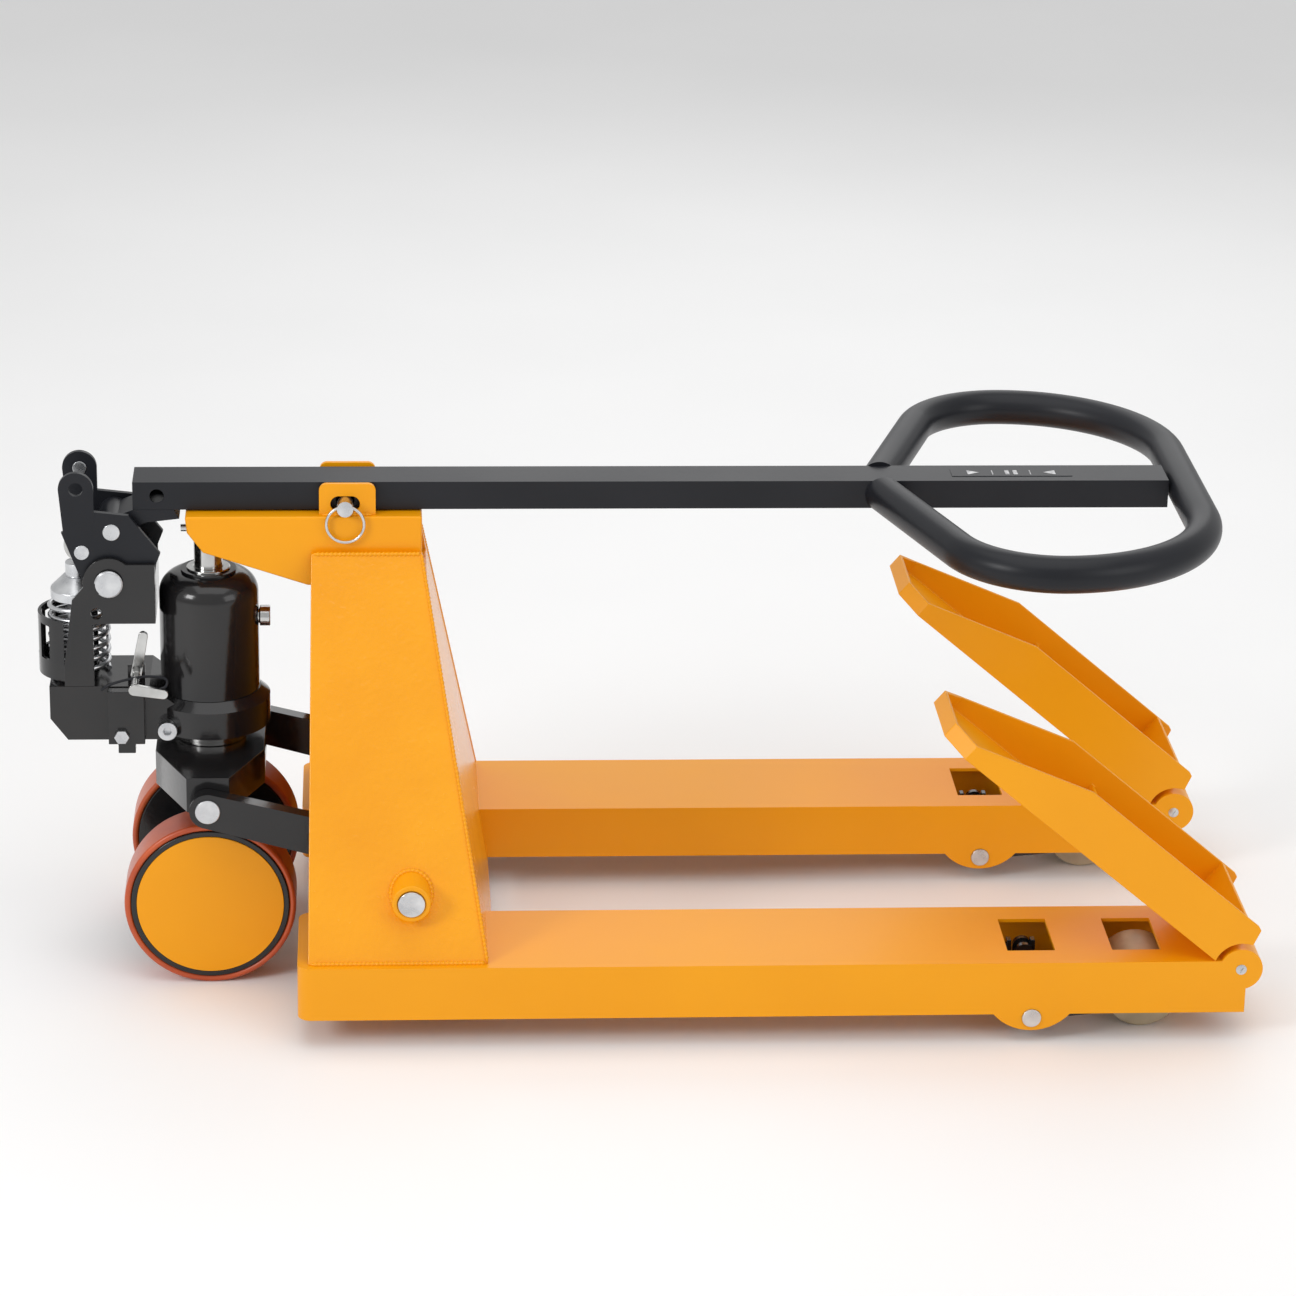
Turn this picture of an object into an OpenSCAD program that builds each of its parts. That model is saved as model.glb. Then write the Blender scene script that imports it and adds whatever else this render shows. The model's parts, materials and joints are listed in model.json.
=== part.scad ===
// Folding hand pallet truck, lowered and packed away: the drawbar lies flat in its
// latch and the front halves of the forks are folded back over the rear halves.
// +X runs from the pump along the forks, +Z is up, the floor is z = 0.
// The right side is -Y, as seen by someone at the pump who faces along the forks.

/* [Forks] */
// Width over both forks
forks_overall_w = 550; // [500:5:680]
// Width of one fork
fork_w = 140; // [120:2:168]
// Height of the fork section
fork_h = 58; // [52:1:64]
// Height of the lowered load face above the floor
fork_top = 90; // [86:1:96]
// Length of the rear fork half
fork_len = 978; // [820:2:1170]
// Wall of the fork sides and top
fork_wall = 4; // [3:0.5:5]
// Radius of the rear corners in plan
fork_corner_r = 14; // [8:1:20]
// Distance from the pump axis to the rear end of the forks
fork_back = 93; // [88:1:100]

/* [Fork tips] */
// Length of a folding tip from its hinge
tip_len = 405; // [340:5:412]
// Angle the tip turns from folded to deployed
tip_fold = 140; // [132:1:148]
// Radius of the hinge barrel
barrel_r = 22.5; // [20:0.5:22.5]
// Radius of the hinge pin
hinge_pin_r = 5; // [4:0.5:7]

/* [Chassis] */
// Thickness of the side plates
plate_t = 6; // [5:0.5:8]
// Height where the side plates meet the head
plate_top = 458; // [452:1:462]
// Length of a side plate where it stands on the fork
plate_foot = 184; // [176:1:190]
// Length of a side plate at its top
plate_head = 115; // [105:1:120]
// Width of the head
head_w = 86; // [80:2:90]
// Wall of the head
head_wall = 5; // [4:0.5:6]
// Thickness of a latch lug
lug_t = 5; // [4:0.5:6]

/* [Lift linkage] */
// Height of the rocker pivot above the floor
rocker_z = 153; // [150:1:156]
// Distance from the pump axis to the rocker pivot
rocker_x = 209.6; // [200:0.4:216]
// Radius of the rocker pins
rocker_pin_r = 14; // [12:0.5:15]
// Radius of the load rollers
roller_r = 40; // [38:0.5:40.5]
// Width of the load rollers
roller_w = 70; // [60:2:74]
// Radius of the roller frame pivot pins
lug_pin_r = 10; // [8:0.5:11]

/* [Steering wheels] */
// Radius of a steering wheel
wheel_r = 90; // [80:1:92]
// Width of a steering wheel
wheel_w = 50; // [42:1:54]
// Distance between the middles of the two wheels
wheel_track = 176; // [170:1:180]
// Thickness of the tyre
tyre_t = 7; // [5:0.5:10]
// Radius of the wheel axle
axle_r = 12.5; // [10:0.5:14]

/* [Pump] */
// Radius of the oil reservoir
reservoir_r = 52; // [46:1:52]
// Radius of the lifting ram
ram_r = 15; // [12:0.5:17]
// Radius of the base flange
flange_r = 63; // [58:1:66]
// Radius of the stem that turns in the yoke
stem_r = 26; // [22:0.5:28]
// Wire radius of the piston spring
spring_wire_r = 2.6; // [2:0.1:3.2]
// Radius of the lever pivot pin
lever_pin_r = 14; // [12:0.5:16]

/* [Drawbar] */
// Width of the drawbar tube
bar_w = 50; // [44:1:54]
// Height of the drawbar tube
bar_h = 30; // [26:1:30]
// Wall of the drawbar tube
bar_wall = 2.5; // [2:0.25:3.5]
// Outer width of the grip loop
loop_w = 576; // [480:4:600]
// Diameter of the loop tube
loop_d = 38; // [32:1:40]
// Wall of the loop tube
loop_wall = 2.5; // [2:0.25:3.5]
// Distance from the pump axis to the middle of the loop's end bar
loop_reach = 1026; // [1000:2:1090]

/* [Hidden] */
$fn = 96;
run_gap = 0.05;      // radial play of a pin in a bore
side_gap = 1;        // play between parts that turn side by side
paint = "#f5a000";
gloss_black = "#17181a";
satin_black = "#242528";
zinc = "#b9bdc1";
steel = "#a9a9a6";
polyurethane = "#b8471b";
nylon = "#b7a98a";

// forks and tips
fork_y = (forks_overall_w - fork_w) / 2;
fork_bottom = fork_top - fork_h;
fork_front = fork_back + fork_len;
hinge_x = fork_front - 6;
hinge_z = fork_top - 9.5;
knuckle_w = 23.5;                       // width of each fork knuckle
tip_face = fork_top + 0.5 - hinge_z;    // load face above the hinge axis
tip_floor = fork_bottom + 1.5 - hinge_z;
tip_heel_r = barrel_r + 6.5;            // hollow of the tip's heel round the barrel
tip_nose_t = 18;                        // height of the nose wall
tip_nose_cut = 25;                      // corner cut off the nose in plan
lug_x = hinge_x - 215.7;                // roller frame pivot
lug_z = 27.7;
lug_pin_l = fork_w / 2 + 2;
roller_arm_x = 121.3;                   // roller axle ahead of that pivot
roller_axle_r = 10;
window_w = 78;                          // openings in the fork's top
rear_window = [lug_x - 23.6, lug_x + 26.2];
front_window = [lug_x + 85.7, lug_x + 136.7];
tab_r = 52;
tab_bottom = 13.5;

// chassis
plate_back_foot = fork_back + 11;
plate_back_head = fork_back + 15;
plate_foot_y = forks_overall_w / 2 - 10;
plate_head_y = head_w / 2 + 7;
plate_lean = (plate_foot_y - plate_head_y) / (plate_top - fork_top);
plate_y_t = plate_t * sqrt(1 + plate_lean * plate_lean);
front_slope = (plate_back_foot + plate_foot - plate_back_head - plate_head) / (plate_top - fork_top);
front_plate_bottom = fork_bottom + 1;
bar_bottom = 498.5;
head_top = bar_bottom - 2;
head_front = plate_back_head + plate_head;
head_nose = -22;
latch_x = 145.8;                        // middle of the latch lugs
latch_l = 58.5;
latch_top = bar_bottom + bar_h + 2;
lug_inner_y = bar_w / 2 + 7;
lug_outer_y = lug_inner_y + lug_t;
latch_pin_r = 8.4;
latch_pin_x = latch_x - 2.3;
latch_pin_z = bar_bottom + 9.8;
latch_slot_l = 30;
head_beam_bottom = 430;                 // lower edge of the head between the side plates
pin_z = 470;                            // the short pin through the head's nose
boss_r = rocker_pin_r + 6;
boss_outer_y = 256;
hub_end_y = plate_foot_y - (rocker_z + boss_r + 2 - fork_top) * plate_lean - plate_y_t - 1;

// lift linkage
yoke_pin_z = 208;
yoke_pin_r = 13;
arm_in_y = 125;
arm_out_y = 142;
rocker_hub_r = rocker_pin_r + 6;
push_y = hub_end_y - 12;
rod_z = 69.5;
rod_w = 10;
rod_h = 12;
rod_pin_r = 6;
ear_t = 6;
ear_gap = 0.5;
rod_slot_back = rod_pin_r + 7;           // hook round the roller frame's pin
rod_slot_front = rod_pin_r + 1;

// steering
wheel_y = wheel_track / 2;
rim_r = wheel_r - tyre_t;
cover_r = rim_r - 6;
cover_t = 4;
bearing_r = axle_r * 2 + 1;
bearing_w = 15;
yoke_top = 238;
yoke_bottom = 200;
yoke_half = 57;
yoke_ear_half = 22;
thrust_h = 9.7;
thrust_r = stem_r + 12;
base_bottom = yoke_top + 10;

// pump
flange_z = base_bottom + 8;
flange_h = 29;
nose_x = -166;
nose_half = 45;
nose_top = 310;
nose_bottom = base_bottom + 2;
shoulder_z = 400;
dome_z = 426;
gland_r = ram_r + 8;
ram_neck_r = 9;                          // the ram's end is thin, so that it can lean in the head
ram_top = head_top - head_wall - 1;
piston_x = -136;
piston_r = 12;
spring_r = 30.4;
spring_bottom = nose_top;
spring_top = 395;
spring_turns = 7;
cap_r = 29;
cap_top = 434;
guard_r = 43;
guard_t = 3;
release_x = -76;
release_z = nose_top + 9;
release_r = 4;
bracket_in_y = 39;
bracket_t = 6;
bracket_r = 27;

// pump lever and drawbar
lever_x = -101.5;
lever_z = 424.8;
lever_t = 6;
lever_out_y = bracket_in_y - side_gap;
lever_in_y = lever_out_y - lever_t;
lock_press = 12;                      // how far the lock plunger can be pushed
knob_y = lever_out_y + lock_press + 1;  // inner face of its knob, clear when pushed in
fold_x = -98;
fold_z = 478;
fold_pin_r = 9;
press_x = -129;
press_z = 456;
press_r = 20;
press_pin_r = 8;
bar_end = -76;
bar_mid = bar_bottom + bar_h / 2;
lock_hole_r = 7.3;
lock_reach = 47;                         // lock hole from the fold pin, along the tube
lock_x = fold_x - (bar_mid - fold_z);
lock_z = fold_z + lock_reach;
knuckle_r = 16;
loop_r = loop_d / 2;
loop_y = loop_w / 2 - loop_r;
loop_root_x = 697;
loop_knee_x = 786;
loop_knee_r = 105;
loop_corner_r = 165;
decal_x = [778, 905];
decal_w = 22;

// small parts
frame_in_y = roller_w / 2 + 3;
frame_t = 6;
coil_steps = spring_turns * 16;
coil_sides = 8;
ring_hole_y = lug_outer_y + 11;
ring_r = 19.5;
ring_wire_r = 1.6;
bolt_r = 3.9;
bolt_x = -91;
bolt_z = flange_z + 4;
screw_x = -43.5;
screw_z = flange_z + 8;
screw_head_r = 10;

// the origin lies under the middle of the model's length
rear_end = piston_x - guard_r;
front_end = hinge_x + barrel_r;
mid_x = (rear_end + front_end) / 2;

// ---- helpers ----

module place() translate([-mid_x, 0, 0]) children();

// a rod along Y at x, z from y0 to y1
module rod_y(x, z, r, y0, y1) translate([x, y0, z]) rotate([-90, 0, 0]) cylinder(r = r, h = y1 - y0);

// an outline in the X-Z plane, thick from y0 to y1
module slab(y0, y1) translate([0, y1, 0]) rotate([90, 0, 0]) linear_extrude(y1 - y0) children();

// the same slab on both sides of the middle
module both(y0, y1) { slab(y0, y1) children(); slab(-y1, -y0) children(); }

// a bar with round ends between two points, each end with its own radius
module link(a, ra, b, rb) {
    n = [-(b - a)[1], (b - a)[0]] / norm(b - a);
    translate(a) circle(ra);
    translate(b) circle(rb);
    polygon([a + n * (ra - 0.03), b + n * (rb - 0.03), b - n * (rb - 0.03), a - n * (ra - 0.03)]);
}

// a rectangle whose two corners at x0 are round
module round_back(x0, x1, w, r) {
    translate([x0 + r, -w / 2]) square([x1 - x0 - r, w]);
    translate([x0, -w / 2 + r]) square([r, w - 2 * r]);
    for (k = [-1, 1]) translate([x0 + r, k * (w / 2 - r)]) circle(r);
}

// ---- forks ----

module fork(side) place() color(paint) translate([0, side * fork_y, 0]) difference() {
    union() {
        difference() {
            translate([0, 0, fork_bottom]) linear_extrude(fork_h)
                round_back(fork_back, fork_front, fork_w, fork_corner_r);
            translate([0, 0, fork_bottom - 1]) linear_extrude(fork_h - fork_wall + 1)
                round_back(fork_back + fork_wall, fork_front - fork_wall, fork_w - 2 * fork_wall,
                    fork_corner_r - fork_wall);
        }
        both(fork_w / 2 - fork_wall, fork_w / 2) intersection() {
            translate([lug_x, tab_bottom + tab_r]) circle(tab_r);
            translate([lug_x - tab_r, 0]) square([2 * tab_r, fork_bottom + 4]);
        }
        both(fork_w / 2 - knuckle_w, fork_w / 2) translate([hinge_x, hinge_z]) circle(barrel_r);
    }
    // room for the tip's own knuckle, and the pin's bore
    rod_y(hinge_x, hinge_z, barrel_r + side_gap, -fork_w / 2 + knuckle_w, fork_w / 2 - knuckle_w);
    rod_y(hinge_x, hinge_z, hinge_pin_r + run_gap / 2, -fork_w, fork_w);
    rod_y(lug_x, lug_z, lug_pin_r + run_gap / 2, -fork_w, fork_w);
    for (w = [rear_window, front_window])
        translate([w[0], -window_w / 2, fork_top - fork_wall - 1])
            cube([w[1] - w[0], window_w, fork_wall + 2]);
    // slot that the rocker's ear swings through
    translate([rocker_x - 18, side * (push_y - fork_y) - rod_w / 2 - ear_t - ear_gap - 2, fork_top - fork_wall - 1])
        cube([84, rod_w + 2 * (ear_t + ear_gap + 2), fork_wall + 2]);
}
module right_fork() fork(-1);
module left_fork() fork(1);

module tip_outline() difference() {
    polygon([[9.5, -tip_heel_r], [14, tip_floor + 2], [19, tip_floor], [tip_len - 151, tip_floor],
        [tip_len - tip_nose_cut, tip_face - tip_nose_t], [tip_len, tip_face - tip_nose_t],
        [tip_len, tip_face], [9.5, tip_face]]);
    circle(tip_heel_r);
}
module tip_plan(w, inset) polygon([[0, -w / 2], [tip_len - tip_nose_cut - inset / 2, -w / 2],
    [tip_len - inset, -w / 2 + tip_nose_cut - inset / 2], [tip_len - inset, w / 2 - tip_nose_cut + inset / 2],
    [tip_len - tip_nose_cut - inset / 2, w / 2], [0, w / 2]]);

// the tip is drawn deployed about its hinge axis, then turned back to its folded place
module fork_tip(side) place() color(paint)
    translate([hinge_x, side * fork_y, hinge_z]) rotate([0, -tip_fold, 0]) {
        difference() {
            union() {
                difference() {
                    intersection() {
                        slab(-fork_w / 2, fork_w / 2) tip_outline();
                        translate([0, 0, -fork_h]) linear_extrude(2 * fork_h) tip_plan(fork_w, 0);
                    }
                    translate([tip_heel_r + 5 + fork_wall, 0, -fork_h]) linear_extrude(fork_h + tip_face - fork_wall)
                        translate([-tip_heel_r - 5 - fork_wall, 0]) intersection() {
                            tip_plan(fork_w - 2 * fork_wall, fork_wall);
                            translate([tip_heel_r + 5 + fork_wall, -fork_w]) square([tip_len, 2 * fork_w]);
                        }
                    // the heel stays open beside the knuckle
                    translate([0, -fork_w / 2 + fork_wall, -fork_h])
                        cube([tip_heel_r + 5, fork_w - 2 * fork_wall, fork_h + tip_face - fork_wall]);
                }
                knuckle_half = fork_w / 2 - knuckle_w - side_gap / 2;
                rod_y(0, 0, barrel_r, -knuckle_half, knuckle_half);
                slab(-knuckle_half, knuckle_half)
                    polygon([[0, -barrel_r + 0.5], [tip_heel_r + 7, -barrel_r - 1.5],
                        [tip_heel_r + 7, tip_face - fork_wall], [tip_heel_r + 1, tip_face - fork_wall],
                        [22, 0], [0, 0]]);
                // stiffener across the middle
                translate([tip_len / 2, -fork_w / 2 + fork_wall, -24]) cube([fork_wall, fork_w - 2 * fork_wall, 24 + tip_face - fork_wall]);
            }
            rod_y(0, 0, hinge_pin_r + run_gap, -fork_w, fork_w);
        }
    }
module right_fork_tip() fork_tip(-1);
module left_fork_tip() fork_tip(1);

module tip_hinge_pins() place() color(zinc) for (side = [-1, 1])
    translate([0, side * fork_y, 0]) difference() {
        rod_y(hinge_x, hinge_z, hinge_pin_r, -fork_w / 2 - 0.5, fork_w / 2 + 0.5);
        for (end = [-1, 1]) translate([hinge_x - hinge_pin_r, end * (fork_w / 2 + 0.5) - 1, hinge_z - 0.6])
            cube([2 * hinge_pin_r, 2, 1.2]);
    }

module roller_pivot_pins() place() color(zinc) for (side = [-1, 1])
    translate([0, side * fork_y, 0]) rod_y(lug_x, lug_z, lug_pin_r, -lug_pin_l, lug_pin_l);

// ---- chassis ----

function plate_y(z) = plate_foot_y - (z - fork_top) * plate_lean;
function front_x(z) = plate_back_head + plate_head + (plate_top - z) * front_slope;

module side_plate(side) place() color(paint) difference() {
    intersection() {
        slab(-forks_overall_w, forks_overall_w)
            polygon([[plate_back_foot, fork_top], [front_x(fork_top), fork_top],
                [front_x(plate_top), plate_top], [plate_back_head, plate_top]]);
        rotate([90, 0, 90]) linear_extrude(fork_front) polygon([for (p = [
            [plate_y(fork_top), fork_top], [plate_y(plate_top), plate_top],
            [plate_y(plate_top) - plate_y_t, plate_top], [plate_y(fork_top) - plate_y_t, fork_top]])
            [side * p[0], p[1]]]);
    }
    translate([0, -head_w / 2, plate_top - 100]) cube([fork_front, head_w, 200]);
    rod_y(rocker_x, rocker_z, boss_r, -boss_outer_y, boss_outer_y);
}
module right_side_plate() side_plate(-1);
module left_side_plate() side_plate(1);

// the sloping front plate lies between the side plates and runs down between the forks
module front_plate() place() color(paint) {
    x_t = plate_t;
    inner = fork_y - fork_w / 2;
    difference() {
        intersection() {
            slab(-forks_overall_w, forks_overall_w)
                polygon([[front_x(front_plate_bottom) - x_t, front_plate_bottom], [front_x(front_plate_bottom), front_plate_bottom],
                    [front_x(plate_top), plate_top], [front_x(plate_top) - x_t, plate_top]]);
            rotate([90, 0, 90]) linear_extrude(fork_front)
                polygon([[-inner, front_plate_bottom], [inner, front_plate_bottom], [inner, fork_top],
                    [plate_y(fork_top) - plate_y_t, fork_top], [plate_y(plate_top) - plate_y_t, plate_top],
                    [-plate_y(plate_top) + plate_y_t, plate_top], [-plate_y(fork_top) + plate_y_t, fork_top],
                    [-inner, fork_top]]);
        }
        translate([0, -head_w / 2, head_beam_bottom]) cube([fork_front, head_w, 200]);
    }
}

// a folded beam, open underneath: the nose reaches over the ram
module head_outline() polygon([[head_nose, head_top], [head_front, head_top], [head_front, head_beam_bottom],
    [plate_back_head + 20, head_beam_bottom - 10], [plate_back_head - 4, head_beam_bottom - 9], [-4, plate_top - 1],
    [head_nose + 2, head_top - 18]]);
module head() place() color(paint) {
    difference() {
        slab(-head_w / 2, head_w / 2) head_outline();
        // the hollow under the top plate
        translate([head_nose + head_wall, -head_w / 2 + head_wall, 0])
            cube([head_front - head_nose - 2 * head_wall, head_w - 2 * head_wall, head_top - head_wall]);
        translate([head_nose - 10, 0, pin_z]) rotate([0, 90, 0]) cylinder(r = 4, h = 14);
    }
}

module latch_bracket() place() color(paint) both(lug_inner_y, lug_outer_y) difference() {
    union() {
        translate([latch_x - latch_l / 2, head_top]) square([latch_l, latch_top - head_top - 8]);
        translate([latch_x - latch_l / 2 + 8, head_top]) square([latch_l - 16, latch_top - head_top]);
        for (k = [-1, 1]) translate([latch_x + k * (latch_l / 2 - 8), latch_top - 8]) circle(8);
    }
    link([latch_pin_x - latch_slot_l / 2 + latch_pin_r, latch_pin_z], latch_pin_r + 0.3,
        [latch_pin_x + latch_slot_l / 2 - latch_pin_r, latch_pin_z], latch_pin_r + 0.3);
}

module socket_pin() place() color(zinc) translate([head_nose - 6, 0, pin_z]) rotate([0, 90, 0])
    cylinder(r = 3.9, h = head_wall + 5);

module rocker_bosses() place() color(paint) for (side = [-1, 1]) rotate([0, 0, side > 0 ? 0 : 180])
    translate([side > 0 ? 0 : -2 * rocker_x, 0, 0]) difference() {
        rod_y(rocker_x, rocker_z, boss_r, hub_end_y + side_gap, boss_outer_y);
        rod_y(rocker_x, rocker_z, rocker_pin_r + run_gap / 2, 0, boss_outer_y + 1);
    }

module rocker_pins() place() color(zinc) {
    rod_y(rocker_x, rocker_z, rocker_pin_r, arm_out_y + 12, boss_outer_y + 2);
    rod_y(rocker_x, rocker_z, rocker_pin_r, -boss_outer_y - 2, -arm_out_y - 12);
}

// ---- lift linkage ----

module rocker() place() color(gloss_black) difference() {
    union() {
        rod_y(rocker_x, rocker_z, rocker_hub_r, -hub_end_y, hub_end_y);
        both(arm_in_y, arm_out_y) link([0, yoke_pin_z], yoke_pin_r + 6, [rocker_x, rocker_z], rocker_hub_r + 2);
        for (side = [-1, 1], k = [-1, 1])
            translate([0, side * push_y + k * (rod_w / 2 + ear_gap + ear_t / 2), 0])
                slab(-ear_t / 2, ear_t / 2) link([rocker_x, rocker_z], rocker_hub_r, [rocker_x, rod_z], rod_pin_r + 5);
    }
    rod_y(rocker_x, rocker_z, rocker_pin_r + run_gap, -forks_overall_w, forks_overall_w);
    rod_y(0, yoke_pin_z, yoke_pin_r + run_gap, -forks_overall_w, forks_overall_w);
    rod_y(rocker_x, rod_z, rod_pin_r + run_gap / 2, -forks_overall_w, forks_overall_w);
}

module rear_rod_pins() place() color(steel) for (side = [-1, 1])
    translate([0, side * push_y, 0])
        rod_y(rocker_x, rod_z, rod_pin_r, -rod_w / 2 - ear_gap - ear_t, rod_w / 2 + ear_gap + ear_t);

module push_rod(side) place() color(gloss_black) translate([0, side * push_y, 0]) slab(-rod_w / 2, rod_w / 2)
    difference() {
        union() {
            translate([rocker_x, rod_z]) circle(rod_pin_r + 5);
            translate([rocker_x, rod_z - rod_h / 2]) square([lug_x - rocker_x - rod_slot_back, rod_h]);
            translate([lug_x - rod_slot_back - 5, rod_z - 14]) square([rod_slot_back + rod_slot_front + 10, 26]);
        }
        translate([rocker_x, rod_z]) circle(rod_pin_r + run_gap);
        // open upwards, because the pin rises and falls in it as the linkage swings
        translate([lug_x - rod_slot_back, rod_z - 8]) square([rod_slot_back + rod_slot_front, 30]);
    }
module right_push_rod() push_rod(-1);
module left_push_rod() push_rod(1);

module roller_frame(side) place() color(gloss_black) translate([0, side * fork_y, 0]) {
    rod_in = side * (push_y - fork_y);
    difference() {
        union() {
            both(frame_in_y, frame_in_y + frame_t)
                link([lug_x, lug_z], lug_pin_r + 5, [lug_x + roller_arm_x, roller_r], roller_axle_r + 6);
            rod_y(lug_x, lug_z, lug_pin_r + 5, -frame_in_y, frame_in_y);
            for (k = [-1, 1]) translate([0, rod_in + k * (rod_w / 2 + ear_gap + ear_t / 2), 0])
                slab(-ear_t / 2, ear_t / 2) link([lug_x, lug_z], lug_pin_r + 5, [lug_x, rod_z], rod_pin_r + 4);
        }
        rod_y(lug_x, lug_z, lug_pin_r + run_gap, -fork_w, fork_w);
        rod_y(lug_x + roller_arm_x, roller_r, roller_axle_r + run_gap / 2, -fork_w, fork_w);
    }
    rod_y(lug_x, rod_z, rod_pin_r, rod_in - rod_w / 2 - ear_gap, rod_in + rod_w / 2 + ear_gap);
}
module right_roller_frame() roller_frame(-1);
module left_roller_frame() roller_frame(1);

module roller_axle(side) place() color(zinc) translate([0, side * fork_y, 0])
    rod_y(lug_x + roller_arm_x, roller_r, roller_axle_r, -frame_in_y - frame_t - 2, frame_in_y + frame_t + 2);
module right_roller_axle() roller_axle(-1);
module left_roller_axle() roller_axle(1);

module load_roller(side) place() color(nylon) translate([0, side * fork_y, 0]) difference() {
    rod_y(lug_x + roller_arm_x, roller_r, roller_r, -roller_w / 2, roller_w / 2);
    rod_y(lug_x + roller_arm_x, roller_r, roller_axle_r + run_gap, -fork_w, fork_w);
}
module right_load_roller() load_roller(-1);
module left_load_roller() load_roller(1);

// ---- yoke and steering wheels ----

module trunnion_yoke() place() color(gloss_black) difference() {
    union() {
        translate([0, 0, yoke_bottom]) linear_extrude(yoke_top - yoke_bottom) {
            polygon([[-yoke_half, -46], [yoke_half, -46], [yoke_half, 46], [-yoke_half, 46]]);
            for (k = [-1, 1]) polygon([[-yoke_half, k * 46], [yoke_half, k * 46],
                [yoke_ear_half, k * (arm_in_y - side_gap)], [-yoke_ear_half, k * (arm_in_y - side_gap)]]);
        }
        for (k = [-1, 1]) rod_y(0, yoke_pin_z, yoke_ear_half, k > 0 ? 80 : -arm_in_y + side_gap,
            k > 0 ? arm_in_y - side_gap : -80);
    }
    translate([0, 0, yoke_bottom - 20]) cylinder(r = stem_r + run_gap, h = 100);
    rod_y(0, yoke_pin_z, yoke_pin_r + run_gap / 2, -forks_overall_w, -60);
    rod_y(0, yoke_pin_z, yoke_pin_r + run_gap / 2, 60, forks_overall_w);
}

module trunnion_pins() place() color(zinc) for (y = [60, -arm_out_y - 2])
    rod_y(0, yoke_pin_z, yoke_pin_r, y, y + arm_out_y - 58);

module thrust_bearing() place() color(steel) translate([0, 0, yoke_top]) difference() {
    cylinder(r = thrust_r, h = thrust_h);
    translate([0, 0, -1]) cylinder(r = stem_r + 0.3, h = thrust_h + 2);
}

module wheel_axle() place() color(steel)
    rod_y(0, wheel_r, axle_r, -wheel_y - wheel_w / 2 + cover_t + 2, wheel_y + wheel_w / 2 - cover_t - 2);

// each wheel is drawn on +Y with its open side outwards, then mirrored for the right
module wheel_side(side) place() translate([0, 0, wheel_r]) mirror([0, side > 0 ? 0 : 1, 0])
    translate([0, wheel_y, 0]) rotate([-90, 0, 0]) children();
module wheel_rim(side) color(gloss_black) wheel_side(side) difference() {
    translate([0, 0, -wheel_w / 2]) cylinder(r = rim_r, h = wheel_w);
    translate([0, 0, wheel_w / 2 - cover_t]) cylinder(r = cover_r, h = cover_t + 1);
    translate([0, 0, -wheel_w]) cylinder(r = axle_r + 4, h = 2 * wheel_w);
    for (z = [-wheel_w / 2 - 1, wheel_w / 2 - cover_t - bearing_w - 3])
        translate([0, 0, z]) cylinder(r = bearing_r, h = bearing_w + 4);
}
module wheel_tyre(side) color(polyurethane) wheel_side(side) translate([0, 0, -wheel_w / 2]) difference() {
    cylinder(r = wheel_r, h = wheel_w);
    translate([0, 0, -1]) cylinder(r = rim_r, h = wheel_w + 2);
}
module wheel_cover(side) color(paint) wheel_side(side) translate([0, 0, wheel_w / 2 - cover_t])
    cylinder(r = cover_r, h = cover_t + 0.5);
module wheel_bearings(side) color(steel) wheel_side(side)
    for (z = [-wheel_w / 2 + 3 - 1, wheel_w / 2 - cover_t - bearing_w - 3]) translate([0, 0, z]) difference() {
        cylinder(r = bearing_r, h = bearing_w);
        translate([0, 0, -1]) cylinder(r = axle_r + run_gap, h = bearing_w + 2);
    }
module right_wheel_rim() wheel_rim(-1);
module right_wheel_tyre() wheel_tyre(-1);
module right_wheel_cover() wheel_cover(-1);
module right_wheel_bearings() wheel_bearings(-1);
module left_wheel_rim() wheel_rim(1);
module left_wheel_tyre() wheel_tyre(1);
module left_wheel_cover() wheel_cover(1);
module left_wheel_bearings() wheel_bearings(1);

// ---- pump ----

module pump_base() place() color(gloss_black) difference() {
    union() {
        translate([0, 0, wheel_r - axle_r - 14]) cylinder(r = stem_r, h = base_bottom - wheel_r + axle_r + 15);
        translate([0, 0, base_bottom]) cylinder(r = thrust_r + 6, h = flange_h);
        translate([0, 0, flange_z]) cylinder(r = flange_r, h = flange_h);
        translate([0, 0, flange_z + flange_h - 0.01]) cylinder(r1 = flange_r, r2 = reservoir_r + 1, h = 9);
        slab(-nose_half, nose_half) polygon([[nose_x, nose_bottom + 24], [nose_x + 18, nose_bottom],
            [-30, nose_bottom], [-30, flange_z + flange_h], [-62, nose_top], [nose_x, nose_top]]);
        // barrel of the pump piston, and the bearing of the release lever
        translate([piston_x, 0, nose_top - 1]) cylinder(r = piston_r + 8, h = 21);
        translate([release_x - 9, -30, nose_top - 1]) cube([18, 12, 19]);
    }
    rod_y(0, wheel_r, axle_r + run_gap / 2, -200, 200);
    translate([0, 0, flange_z + flange_h]) cylinder(r = reservoir_r, h = 100);
    translate([piston_x, 0, nose_bottom + 4]) cylinder(r = piston_r + run_gap, h = 100);
    rod_y(release_x, release_z, release_r + run_gap, -nose_half, 0);
    rod_y(bolt_x, bolt_z, bolt_r + run_gap, -nose_half - 20, -nose_half + 12);
    rod_y(screw_x, screw_z, bolt_r + run_gap, -nose_half - 20, -nose_half + 12);
    // pocket for the screw's head
    rod_y(screw_x, screw_z, screw_head_r + 0.2, -flange_r - 20, -nose_half);
}

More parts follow.
